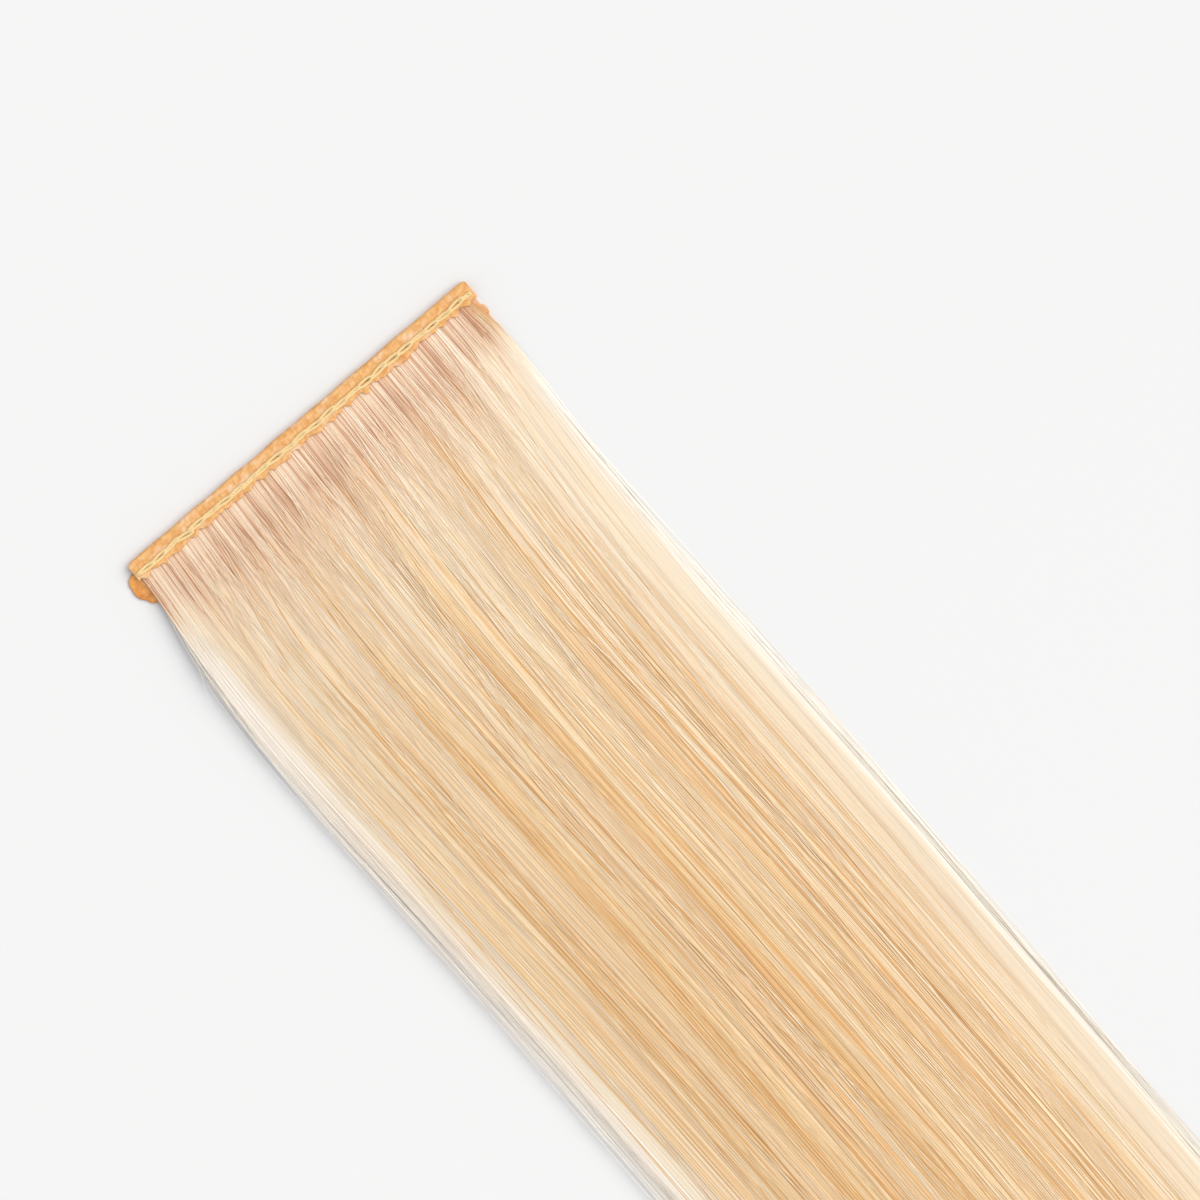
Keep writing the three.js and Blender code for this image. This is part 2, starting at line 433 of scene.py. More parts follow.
# The folded band
BAND_STATIONS = 420
BOTTOM_ROWS = 16
FOLD_ROWS = 10
TOP_ROWS = 14
SEAM_DEPTH = 1.35 * MM
END_NOTCH = 0.6 * MM
NUB_REACH = 3.3 * MM
NUB_HALF = 1.0 * MM
BEAD_X = 11.5 * MM
BEAD_REACH = 1.95 * MM
BEAD_HALF = 0.42 * MM
BEAD_HEIGHT = 0.16 * MM
BEAD_OUT = 0.22 * MM
TAB_START = 1.0 * MM
TAB_STOP = 4.35 * MM
TAB_REACH = 1.15 * MM
TAB_BITE = 0.8 * MM
TAB_DROOP = 0.1 * MM
TAB_STATIONS = 30
TAB_DEPTH = (0.0, 0.06, 0.2, 0.45, 0.62, 0.8, 0.94, 1.0)
TAB_OUT = (0.3, 0.62, 0.9, 1.0, 0.95, 0.62, 0.42, 0.15)
TAB_LIFT = 0.02 * MM
TAB_EDGE = 0.05 * MM
SEAM_HALF = 0.35 * MM
PUCKER = 0.05 * MM
EDGE_WAVER = 0.025 * MM
END_SHORT = 0.2 * MM
END_ROUND = 0.4 * MM
NOTCH_SPAN = 1.5 * MM
NUB_FADE = (0.3, 1.0)
BEAD_LENGTH = 0.6 * BEAD_HALF
UNDER_PAINTED_SHADE = 0.6
# Share of the tab's painted shade on the fold's lower half and the bottom flange
PULL_WAVER = 0.7
FRAYED = 0.35
# Mask of the bead's colour and of painted shade on the band
BEAD_AND_PAINTED_SHADE = "pressed"

# Ripples of the band: how many waves, then the shortest and the longest of them
WAVER = (8, *span(1.5, 7.0))
FRAY = (12, *span(0.35, 1.6))
PEBBLES = (26, *span(0.28, 0.8))
TAB_WAVER = (6, *span(0.8, 2.5))
TAB_PEBBLES = (20, *span(0.28, 0.8))

# Rows of the waver that are read for the stitches' pull, the flange's edge and the fold
PULL_ROW = 5.0 * MM
DRAW_ROW = 9.0 * MM
FOLD_ROW = 3.0 * MM


def stitch_phase(x, head):
    """Place within a stitch, from 0 at one needle hole to 1 at the next."""
    return (x - FOLD_LEFT) / head.stitch_pitch


def band_sheet(head, rng):
    """Outer and inner grids of the strip, with each point's share of the bead's colour and of painted shade.

    The strip runs from its bottom flange round the fold to its ragged, puckered top flange.
    """
    x = np.linspace(FOLD_LEFT, FOLD_RIGHT, BAND_STATIONS)[:, None]
    radius = (BAND_HIGH.z - BAND_LOW.z) / 2
    fold_y = HEAD_EDGE - radius
    fold_z = BAND_LOW.z + radius
    waver = ripples(rng, *WAVER)
    fray = ripples(rng, *FRAY)
    pulled = np.cos(math.pi * stitch_phase(x, head) + PULL_WAVER * waver(x, PULL_ROW)) ** 2
    draw_in = head.scallop * (pulled * (0.5 + 0.5 * waver(x, DRAW_ROW)) + FRAYED * fray(x, 0.0))
    bead = np.exp(-((x - BEAD_X) / BEAD_HALF) ** 2)
    tip_y = HEAD_EDGE - head.top_flange + draw_in * (1.0 - bead) - BEAD_OUT * bead
    bottom = np.linspace(0.0, 1.0, BOTTOM_ROWS, endpoint=False)
    around = np.linspace(-math.pi / 2, math.pi / 2, FOLD_ROWS, endpoint=False)
    top = np.linspace(0.0, 1.0, TOP_ROWS)
    from_end = np.minimum(x - FOLD_LEFT, FOLD_RIGHT - x)
    edge_waver = EDGE_WAVER * waver(x, FOLD_ROW)
    edge_waver -= END_SHORT * (1.0 - smoothstep(0.0, END_ROUND, from_end))
    y = np.concatenate([
        BAND_LOW.y + (fold_y - BAND_LOW.y) * bottom + 0.0 * x,
        fold_y + radius * np.cos(around) + edge_waver * smoothstep(0.0, 1.0, np.cos(around)),
        fold_y + (tip_y - fold_y) * top,
    ], axis=1)
    z = np.concatenate([
        BAND_LOW.z + 0.0 * bottom + 0.0 * x,
        fold_z + radius * np.sin(around) + 0.0 * x,
        BAND_HIGH.z + 0.0 * top + 0.0 * x,
    ], axis=1)
    inward_y = np.concatenate([0.0 * bottom, -np.cos(around), 0.0 * top])
    inward_z = np.concatenate([1.0 + 0.0 * bottom, -np.sin(around), -1.0 + 0.0 * top])
    from_edge = HEAD_EDGE - y
    on_top = smoothstep(fold_z, BAND_HIGH.z, z)
    seam = np.exp(-((from_edge - SEAM_DEPTH) / SEAM_HALF) ** 2)
    pucker = -PUCKER * on_top * seam * (0.55 + 0.45 * np.cos(2.0 * math.pi * stitch_phase(x, head)))
    pebble = head.pebble * ripples(rng, *PEBBLES)(x, from_edge + z)
    blob = bead * np.exp(-((from_edge - BEAD_REACH) / BEAD_LENGTH) ** 2)
    lift = on_top * (pebble + pucker + BEAD_HEIGHT * blob)
    off_nub = smoothstep(*NUB_FADE, np.abs(from_edge - NUB_REACH) / NUB_HALF)
    off_nub *= smoothstep(fold_y, fold_y - MM, y)
    notch = END_NOTCH * off_nub * (1.0 - on_top) * smoothstep(FOLD_RIGHT - NOTCH_SPAN, FOLD_RIGHT, x)
    along = x - notch
    outer = np.stack([along, y - lift * inward_y, z - lift * inward_z], axis=-1)
    thickness = head.band_thickness
    inner = np.stack([along, y + thickness * inward_y, z + thickness * inward_z], axis=-1)
    # The bead takes the tab's colour; the fold's lower half and the bottom flange take part of it as painted
    # shade
    pressed = np.maximum(on_top * blob, UNDER_PAINTED_SHADE * (1.0 - on_top))
    return outer, inner, pressed


def band_tab(head, rng):
    """Outer and inner grids of the bottom flange's flattened left end, which shows past the fold."""
    depth = np.linspace(0.0, 1.0, TAB_STATIONS)[:, None]
    out = np.linspace(0.0, 1.0, TAB_STATIONS // 2)[None, :]
    waver = ripples(rng, *TAB_WAVER)
    y = HEAD_EDGE - TAB_START - (TAB_STOP - TAB_START) * depth + 0.0 * out
    reach = TAB_REACH * np.interp(depth, TAB_DEPTH, TAB_OUT) + TAB_EDGE * waver(y[:, :1], 0.0)
    x = FOLD_LEFT + TAB_BITE - (TAB_BITE + reach) * out
    floor = BAND_LOW.z + TAB_LIFT - TAB_DROOP * out ** 2
    swell = head.pebble * ripples(rng, *TAB_PEBBLES)(x, y)
    outer = np.stack([x, y, floor + head.band_thickness - TAB_LIFT + swell], axis=-1)
    inner = np.stack([x, y, floor + 0.0 * y], axis=-1)
    return outer, inner


# The chain of stitches
PLY_CREST = "ply_crest"
LOOP_STEPS = 96
THREAD_SIDES = 12
LOOP_OVERLAP = 0.32
LOOP_REST = 0.3
LOOP_RISE = 0.1 * MM
LOOP_SINK = 0.25 * MM
LOOP_DIVE = 0.14
LOOP_CROSSING = (0.7, 1.0)
LOOP_LENGTHS = (0.93, 1.05)
LOOP_WIDTHS = (0.5, 1.15)
LOOP_LEAN = 0.16
LOOP_STRAY = 0.05 * MM
HOLE_STRAY = 0.06
PLIES = 3
PLY_TURNS = 5.0
PLY_DEPTH = 0.13


def chain_loop(index, count, head, rng):
    """Path of one chain stitch: up at its needle hole, round the next hole and back down."""
    turn = np.linspace(0.0, 1.0, LOOP_STEPS)
    pitch = (SEAM_HIGH.x - SEAM_LOW.x) / count
    hole = SEAM_LOW.x + pitch * (index + rng.uniform(-HOLE_STRAY, HOLE_STRAY))
    length = pitch * (1.0 + LOOP_OVERLAP) * rng.uniform(*LOOP_LENGTHS)
    width = head.loop_width * rng.uniform(*LOOP_WIDTHS)
    along = 0.5 - 0.5 * np.cos(2.0 * math.pi * turn)
    side = np.sin(2.0 * math.pi * turn) * (0.45 + 0.55 * along)
    lean = rng.uniform(-LOOP_LEAN, LOOP_LEAN)
    middle = (SEAM_LOW.y + SEAM_HIGH.y) / 2 + rng.uniform(-LOOP_STRAY, LOOP_STRAY)
    x = np.minimum(hole + length * along, SEAM_HIGH.x - head.thread_width)
    y = middle + width / 2 * side + lean * length * (along - 0.5)
    buried = smoothstep(LOOP_DIVE, 0.0, np.minimum(turn, 1.0 - turn))
    z = BAND_HIGH.z + LOOP_REST * head.thread_width - LOOP_SINK * buried
    z += LOOP_RISE * smoothstep(*LOOP_CROSSING, along)
    return np.stack([x, y, z], axis=-1)


def thread_tube(path, radius, start):
    """Points, faces and crest heights of a closed, twisted tube along a path."""
    ahead = np.gradient(path, axis=0)
    ahead /= np.linalg.norm(ahead, axis=1, keepdims=True)
    side = np.cross(ahead, (0.0, 0.0, 1.0))
    side /= np.linalg.norm(side, axis=1, keepdims=True)
    up = np.cross(side, ahead)
    turn = np.arange(THREAD_SIDES) * (2.0 * math.pi / THREAD_SIDES)
    twist = np.linspace(0.0, 2.0 * math.pi * PLY_TURNS, len(path))[:, None]
    crest = np.abs(np.cos(PLIES / 2 * (turn[None, :] + twist)))
    ring = np.cos(turn)[None, :, None] * side[:, None] + np.sin(turn)[None, :, None] * up[:, None]
    points = path[:, None] + radius * (1.0 - PLY_DEPTH + PLY_DEPTH * crest)[..., None] * ring
    corner = np.arange(len(path) * THREAD_SIDES).reshape(len(path), THREAD_SIDES) + start
    beside = np.roll(corner, -1, axis=1)
    walls = np.stack([corner[:-1], corner[1:], beside[1:], beside[:-1]], axis=-1).reshape(-1, 4)
    caps = [corner[0].tolist(), corner[-1, ::-1].tolist()]
    return points.reshape(-1, 3), walls.tolist() + caps, crest.ravel()


# The strands
TONE = "strand_tone"
TINT = "tape_tint"
ROOT_TONE = "root_tone"
BAKE_MAP = "OFBake"
SIDES = 3
STRAND_STEPS = 30
STEP_POWER = 1.9
HAIR_IOR = 1.55
STRAND_WIDTHS = (0.8, 1.15)
TIP_TAPER = 0.3
TAPER_SPAN = (0.75, 1.0)
SMOOTH_FROM = 0.9
SIDE_TURN = 0.5
TURN_STRAY = 0.2
SIDE_FLATTER = 0.7

# Places of strands on the bake map, as shares of its width and of a strand's row
MAP_ENDS = (0.005, 0.995)
MAP_ROW = (0.15, 0.85)
CAP_ALONG = (0.0, 0.002, 0.002)
CAP_ROW = (0.2, 0.2, 0.8)

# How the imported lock's section is read
SECTION_COUNT = 140
SECTION_BLUR = 5
SECTION_SKIN = 0.05 * MM
TOP_PROBES = 17
PROBES_SKIPPED = 4
TIP_ROUND = 8.0 * MM
UP = (0.0, 0.0, 1.0)
DOWN = (0.0, 0.0, -1.0)
RIGHTWARD = (1.0, 0.0, 0.0)
LEFTWARD = (-1.0, 0.0, 0.0)

# Heights of strands, and how they come down behind the head
DOME_POWER = 3.0
EDGE_HEIGHT = 0.3 * MM
ROOT_REACH = 0.9 * MM
SLOT_MARGIN = 0.05 * MM
LEAVES_HEAD = 2.1 * MM
LIES_LOOSE = 17.0 * MM
SIDE_LIES_LOOSE = 9.0 * MM
LEFT_LIFT = 0.4
RIDGE = 0.05 * MM
FLOOR_CLEARANCE = 0.02 * MM
TAPE_END = HEAD_EDGE - TAPE_LOW.y
TAPE_EASE = 3.0 * MM

# Lengths of strands, as shares of the lock's length
USUAL_LENGTH = 0.93
CLUMP_LENGTH = 0.05
LENGTH_SPREAD = 0.018
SHORT_STRANDS = 0.14
SHORT_LENGTHS = (0.62, 0.92)
LENGTH_LIMITS = (0.5, 0.995)
SIDE_SHORTER = 7.0 * MM

# Sideways paths: the flare at the right of the head, slanting strands and slow drifts
FLARE = 0.45 * MM
FLARE_START = 2.6 * MM
FLARE_FULL = 5.5 * MM
FLARE_END = 40.0 * MM
LEAN_TAIL = 3
LEAN_MOST = 2.2
DRIFT_WAVES = (7, *span(22.0, 60.0))
DRIFT_STRETCH = 0.45

# Waves of single strands: their least and most height, then their shortest and longest length
WANDER = (span(0.01, 0.1), span(50.0, 140.0))
FAR_STRAY = (span(0.8, 2.4), span(120.0, 260.0))
WEAVE = (span(0.0, 0.025), span(60.0, 150.0))

# Where these set in, by distance behind the tape's outer edge
LEAN_SPAN = span(2.0, 18.0)
DRIFT_SPAN = span(3.0, 45.0)
WANDER_SPAN = span(2.0, 14.0)
WEAVE_SPAN = span(6.0, 30.0)
RIDGE_SPAN = span(5.0, 25.0)

# Where effects start and are full across the lock, from 0 in its middle to 1 at its sides
GATHER_SIDES = (0.88, 0.6)
STRAY_SIDES = (0.97, 0.8)
LEAN_SIDES = (0.95, 0.7)
FLARE_SIDES = (0.85, 1.0)
SETTLED_SIDES = (1.0, 0.7)
SOONER_SIDES = (0.8, 1.0)
DEPTH_SIDES = (0.98, 0.75)
SHADE_SIDES = (1.0, 0.75)
FLATTER_SIDES = (0.55, 0.95)
UNTINTED_SIDES = (0.86, 0.97)

# Tones of strands, from 0 for honey to 1 for pale
TONE_MIDDLE = 0.28
TONE_TOP = 0.5
ROOT_MIDDLE = 0.39
ROOT_TONE_SPREAD = 0.2
CLUMP_SHADE = 0.36
CLUMP_SPREAD = 0.07

Strands = namedtuple("Strands", "reach x z radius flat tone root_tone tint turn")
Clumps = namedtuple("Clumps", "side root draw tone lift")
Outline = namedtuple("Outline", "reach centre half under rise")

# Layers of the lock from its underside up; the lower ones are flat ribbons of many hairs lying together
Layer = namedtuple(
    "Layer", "name strands width flat low high tone spread neck gather lean stray ragged over",
    defaults=(1.0, 0.0, 0.0, 0.0, True, 0.0))
# The layers' tones carry painted shade: the under and inner layers are drawn darker, towards honey, for the
# shade among the strands over them, and the top layers a little paler
LAYERS = (
    Layer(
        "hair_under", strands=420, width=4.0, flat=0.2, low=0.0, high=0.7, tone=-0.18, spread=0.07,
        neck=0.0, ragged=False),
    Layer(
        "hair_inner", strands=760, width=3.2, flat=0.2, low=0.9, high=0.95, tone=-0.18, spread=0.07,
        neck=0.3, gather=0.1, lean=0.1 * MM, ragged=False),
    Layer(
        "hair_upper", strands=900, width=1.7, flat=0.2, low=0.945, high=0.975, tone=-0.03, spread=0.035,
        gather=0.85, lean=0.25 * MM, stray=0.04),
    Layer(
        "hair_face", strands=1000, width=1.2, flat=0.3, low=0.975, high=1.0, tone=0.03, spread=0.035,
        gather=1.0, lean=0.35 * MM, stray=0.1),
    Layer(
        "hair_top", strands=230, width=1.2, flat=0.38, low=0.99, high=1.0, tone=0.07, spread=0.1,
        gather=0.5, lean=0.8 * MM, stray=0.4, over=0.06 * MM),
)

# How thickly strands lie towards the sides, the right one being softer
SIDE_SAMPLES = 801
ROOT_SPREAD = 0.995
ROOT_EVENNESS = 0.6
ROOT_EVEN_END = 40.0 * MM
PLAIN_LEFT = (-0.975, -0.935)
PLAIN_RIGHT = (0.985, 0.9)
RAGGED_SHARE = (0.0, 0.3, 0.6, 1.0)
RAGGED_LEFT = (-0.985, -0.96, -0.9, -0.75)
RAGGED_RIGHT = (-0.99, -0.95, -0.88, -0.7)

# How strongly strands gather into their clump, by distance behind the tape's outer edge in millimetres
GATHER_REACH = (0.0, 4.0, 10.0, 25.0, 60.0, 90.0, 220.0, 350.0)
GATHER_SHARE = (0.75, 0.78, 0.7, 0.5, 0.42, 0.4, 0.45, 0.6)

# How strongly the tape below tints the strands, by the same distance
TINT_REACH = (0.0, 6.0, 8.0, 10.0, 13.0, 18.0)
TINT_SHARE = (1.0, 1.0, 0.65, 0.3, 0.12, 0.0)
TINT_FRAY = 0.9
RIGHT_UNTINTED = 0.7

# How much paler strands are near the head and over the tape, by the same distance
NECK_REACH = (0.0, 16.0, 20.0, 30.0, 45.0, 65.0)
NECK_PALER = (0.23, 0.23, 0.2, 0.13, 0.06, 0.01)
ROOT_FADE_REACH = (0.0, 3.2, 5.0, 7.0)
ROOT_PALER = (0.08, 0.08, 0.0, -0.02)

# Painted light for light through the thin hair at the sides, set apart for each side to even out the key
# light: how much paler strands get towards the left and right sides, by distance from them in millimetres
LEFT_REACH = (0.0, 1.0, 2.0, 3.0, 4.0, 5.5, 7.5)
LEFT_PAINTED_LIGHT = (0.85, 0.66, 0.5, 0.35, 0.21, 0.09, 0.0)
RIGHT_REACH = (0.0, 1.3, 2.3, 3.3, 4.3, 5.3, 7.0, 9.0)
RIGHT_PAINTED_LIGHT = (0.8, 0.68, 0.5, 0.35, 0.2, 0.1, 0.03, 0.0)

# How much of that shows, by distance behind the tape's outer edge in millimetres
SIDE_FADE_REACH = (0.0, 4.0, 6.0, 8.0, 12.0)
LEFT_FADE = (-0.2, -0.15, 0.3, 0.75, 1.0)
RIGHT_FADE = (-0.6, -0.5, 0.1, 0.75, 1.0)

# Height of the lock's rolled left edge in millimetres, by the same distance
EDGE_REACH = (0.0, 5.0, 12.0, 30.0, 60.0)
LEFT_EDGE_HEIGHT = (0.4, 1.0, 1.1, 0.4, 0.3)


def measure_lock():
    """Centre line, half width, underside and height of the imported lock, from its roots to its tips."""
    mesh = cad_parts["hair_lock"].data
    places = [point.co for point in mesh.vertices]
    tree = BVHTree.FromPolygons(places, [face.vertices for face in mesh.polygons])

    def hit(x, y, z, way):
        return tree.ray_cast(Vector((x, y, z)), Vector(way))[0]

    start = HEAD_EDGE - LOCK_HIGH.y + SECTION_SKIN
    reach = np.linspace(start, LOCK_LENGTH - TIP_ROUND, SECTION_COUNT)
    rows = []
    for distance in reach:
        y = HEAD_EDGE - distance
        under = hit(0.0, y, LOCK_LOW.z - MM, UP).z
        left = hit(LOCK_LOW.x - MM, y, under + SECTION_SKIN, RIGHTWARD).x
        right = hit(LOCK_HIGH.x + MM, y, under + SECTION_SKIN, LEFTWARD).x
        across = np.linspace(left, right, TOP_PROBES)[PROBES_SKIPPED:-PROBES_SKIPPED]
        top = max(hit(x, y, LOCK_HIGH.z + MM, DOWN).z for x in across)
        rows.append(((left + right) / 2, (right - left) / 2, under, top - under))
    kernel = np.full(SECTION_BLUR, 1.0 / SECTION_BLUR)
    columns = np.pad(np.array(rows).T, ((0, 0), (SECTION_BLUR // 2, SECTION_BLUR // 2)), mode="edge")
    return Outline(reach, *(np.convolve(column, kernel, mode="valid") for column in columns))


def spread_sides(count, ragged, rng):
    """Where strands lie across the free lock and at its sewn roots, from -1 to 1.

    Ragged layers thin out towards the lock's soft sides and the others stop short of them.
    """
    side = np.linspace(-1.0, 1.0, SIDE_SAMPLES)
    if ragged:
        left = np.interp(side, RAGGED_LEFT, RAGGED_SHARE)
        right = np.interp(-side, RAGGED_RIGHT, RAGGED_SHARE)
    else:
        left = smoothstep(*PLAIN_LEFT, side)
        right = smoothstep(*PLAIN_RIGHT, side)
    total = np.cumsum(np.minimum(left, right))
    draws = (np.arange(count) + rng.uniform(0.0, 1.0, count)) / count
    free = np.interp(draws, total / total[-1], side)
    return free, free + ROOT_EVENNESS * (ROOT_SPREAD * (2.0 * draws - 1.0) - free)


def own_clumps(side, hair):
    """The clump that each strand gathers into, the same in all layers: its places, draw, tone and lift."""
    sides, roots = spread_sides(hair.clumps, True, np.random.default_rng(hair.seed))
    rng = np.random.default_rng(hair.seed + CLUMP_SEED)
    draws = rng.uniform(-1.0, 1.0, hair.clumps)
    tones = rng.normal(0.0, CLUMP_SPREAD, hair.clumps)
    lifts = rng.uniform(-1.0, 1.0, hair.clumps)
    own = np.abs(side[:, None] - sides[None, :]).argmin(axis=1)
    return Clumps(*(column[own] for column in (sides, roots, draws, tones, lifts)))


def wave(reach, rng, heights, lengths):
    """One slow wave per strand, with its height and length drawn from ranges."""
    count = len(reach)
    height = rng.uniform(*heights, count)[:, None] * rng.choice((-1.0, 1.0), count)[:, None]
    length = rng.uniform(*lengths, count)[:, None]
    phase = rng.uniform(0.0, 2.0 * math.pi, count)[:, None]
    return height * np.sin(2.0 * math.pi * reach / length + phase)


def strand_lengths(side, clump_draw, rng):
    """How far strands reach: clumps end together, most near the full length and some well short of it."""
    count = len(side)
    share = USUAL_LENGTH + CLUMP_LENGTH * clump_draw + rng.normal(0.0, LENGTH_SPREAD, count)
    short = rng.uniform(0.0, 1.0, count) < SHORT_STRANDS
    share = np.where(short, rng.uniform(*SHORT_LENGTHS, count), share)
    return LOCK_LENGTH * np.clip(share, *LENGTH_LIMITS) - SIDE_SHORTER * side ** 2


def strand_reach(lengths, start=ROOT_REACH):
    """Distances behind the tape's edge at each strand's points, closer together towards the roots."""
    share = np.linspace(0.0, 1.0, STRAND_STEPS) ** STEP_POWER
    return start + (lengths[:, None] - start) * share


def lock_height(outline, reach, side, share):
    """Height of a strand: level inside the sewn head, then spread through the lock's domed section."""
    under = np.interp(reach, outline.reach, outline.under)
    rise = np.interp(reach, outline.reach, outline.rise)
    root = outline.under[0] + SLOT_MARGIN + (outline.rise[0] - 2.0 * SLOT_MARGIN) * share
    outward = np.clip(np.abs(side), 0.0, 1.0)
    keeps = np.where(side < 0.0, LEFT_LIFT, 0.0)
    settled = keeps + (1.0 - keeps) * smoothstep(*SETTLED_SIDES, outward)
    left_edge = MM * np.interp(reach / MM, EDGE_REACH, LEFT_EDGE_HEIGHT)
    edge = np.where(side < 0.0, left_edge, EDGE_HEIGHT * settled)
    crest = edge + (rise - edge) * (1.0 - outward ** DOME_POWER)
    loose = under * settled + SLOT_MARGIN + share * crest
    lies_loose = LIES_LOOSE + (SIDE_LIES_LOOSE - LIES_LOOSE) * smoothstep(*SOONER_SIDES, outward)
    return root + (loose - root) * smoothstep(LEAVES_HEAD, lies_loose, reach)


def lowest(radius, flat, reach):
    """Lowest height of a strand's middle: clear of the tape, then easing down to the floor."""
    over_tape = TAPE_HIGH.z * smoothstep(TAPE_END + TAPE_EASE, TAPE_END, reach)
    return radius * flat + FLOOR_CLEARANCE + over_tape


def side_painted_light(side, half, reach):
    """Painted light: how much paler strands are close to one of the lock's sides, for light through the thin
    hair there, and darker near the head.
    """
    inside = (1.0 - np.abs(side)) * half / MM
    left = np.interp(inside, LEFT_REACH, LEFT_PAINTED_LIGHT)[:, None]
    right = np.interp(inside, RIGHT_REACH, RIGHT_PAINTED_LIGHT)[:, None]
    left_fade = np.interp(reach / MM, SIDE_FADE_REACH, LEFT_FADE)
    right_fade = np.interp(reach / MM, SIDE_FADE_REACH, RIGHT_FADE)
    return np.where(side[:, None] < 0.0, left * left_fade, right * right_fade)


def tape_tint(reach, rng):
    """Share of the tape's tint at each point, ending a little sooner or later on each strand."""
    shift = rng.normal(0.0, TINT_FRAY, len(reach))[:, None]
    return np.interp(reach / MM + shift, TINT_REACH, TINT_SHARE)


def strand_radius(hair, scale, count, rng):
    width = hair.strand_width / 2 * scale * rng.uniform(*STRAND_WIDTHS, count)[:, None]
    taper = 1.0 - (1.0 - TIP_TAPER) * smoothstep(*TAPER_SPAN, np.linspace(0.0, 1.0, STRAND_STEPS))
    return width * taper


def strand_places(layer, hair, outline, side, root_side, clump, reach, rng):
    """Sideways places of strands: even at the roots, then gathered into clumps, slanting and drifting."""
    outward = np.abs(side)[:, None]
    gather = layer.gather * np.interp(reach / MM, GATHER_REACH, GATHER_SHARE)
    gather *= smoothstep(*GATHER_SIDES, outward)
    freed = smoothstep(LEAVES_HEAD, ROOT_EVEN_END, reach)
    laid = root_side[:, None] + freed * (side - root_side)[:, None]
    middle = clump.root[:, None] + freed * (clump.side - clump.root)[:, None]
    gathered = laid + gather * (middle - laid)
    half = np.interp(reach, outline.reach, outline.half)
    centre = np.interp(reach, outline.reach, outline.centre)
    drift_height = ripples(np.random.default_rng(hair.seed + DRIFT_SEED), *DRIFT_WAVES)
    drift = hair.sway * drift_height(reach * DRIFT_STRETCH, gathered * half)
    wander = wave(reach, rng, *WANDER)
    stray = rng.uniform(0.0, 1.0, layer.strands) < layer.stray
    far = wave(reach, rng, *FAR_STRAY) * stray[:, None]
    far = (far - far[:, :1]) * smoothstep(*STRAY_SIDES, outward)
    slant = np.clip(rng.standard_t(LEAN_TAIL, layer.strands), -LEAN_MOST, LEAN_MOST)
    lean = layer.lean * slant[:, None] * smoothstep(*LEAN_SPAN, reach)
    flare = smoothstep(FLARE_START, FLARE_FULL, reach) * smoothstep(FLARE_END, FLARE_FULL, reach)
    x = centre + gathered * half + lean * smoothstep(*LEAN_SIDES, outward)
    x += FLARE * flare * smoothstep(*FLARE_SIDES, root_side)[:, None]
    x += (drift + far) * smoothstep(*DRIFT_SPAN, reach) + wander * smoothstep(*WANDER_SPAN, reach)
    return x, (x - centre) / half


def strand_tones(layer, hair, outline, side, clump, reach, rng):
    """Tones of strands where they are free and where they lie over the tape."""
    outward = np.abs(side)
    # Paler towards the sides: painted light
    paler = side_painted_light(side, outline.half.max(), reach)
    apart = np.abs(side - clump.side) * hair.clumps
    # Painted shade by depth, deeper layers darker and top layers paler, plus each clump's own tone
    depth_shade_and_clump_tone = layer.tone * smoothstep(*DEPTH_SIDES, outward) + clump.tone
    shade = CLUMP_SHADE * np.clip(apart, 0.0, 1.0) ** 2 * smoothstep(*SHADE_SIDES, outward)
    tone = TONE_MIDDLE + depth_shade_and_clump_tone - shade
    tone = (tone + rng.normal(0.0, layer.spread, layer.strands))[:, None]
    tone = np.clip(tone + layer.neck * np.interp(reach / MM, NECK_REACH, NECK_PALER), 0.0, TONE_TOP)
    root_spread = rng.normal(0.0, ROOT_TONE_SPREAD, layer.strands)
    root_tone = (ROOT_MIDDLE + depth_shade_and_clump_tone + root_spread)[:, None] + paler
    return tone + paler, root_tone + np.interp(reach / MM, ROOT_FADE_REACH, ROOT_PALER)


def grow_layer(layer, hair, outline, rng):
    """All strands of one layer of the lock."""
    count = layer.strands
    side, root_side = spread_sides(count, layer.ragged, rng)
    clump = own_clumps(side, hair)
    reach = strand_reach(strand_lengths(side, clump.draw, rng))
    x, across = strand_places(layer, hair, outline, side, root_side, clump, reach, rng)
    share = rng.uniform(layer.low, layer.high, count)[:, None]
    weave = wave(reach, rng, *WEAVE) * smoothstep(*WEAVE_SPAN, reach)
    ridge = RIDGE * clump.lift[:, None] * smoothstep(*RIDGE_SPAN, reach)
    z = lock_height(outline, reach, across, share) + weave + ridge * share
    z += layer.over * smoothstep(LEAVES_HEAD, 2.0 * LEAVES_HEAD, reach)
    radius = strand_radius(hair, layer.width, count, rng)
    z = np.maximum(z, lowest(radius, layer.flat, reach))
    tone, root_tone = strand_tones(layer, hair, outline, side, clump, reach, rng)
    turn = math.pi / 2 + SIDE_TURN * side + rng.uniform(-TURN_STRAY, TURN_STRAY, count)
    flat = layer.flat * (1.0 - SIDE_FLATTER * smoothstep(*FLATTER_SIDES, np.abs(side)))
    tinted = 1.0 - RIGHT_UNTINTED * smoothstep(*UNTINTED_SIDES, side)
    tint = tape_tint(reach, rng) * tinted[:, None]
    return Strands(reach, x, z, radius, flat, tone, root_tone, tint, turn)


def sort_by_tone(strands):
    """The same strands in order of tone, so that neighbours on the bake map look alike."""
    order = np.argsort(strands.tone.mean(axis=1), kind="stable")
    return Strands(*(column[order] for column in strands))


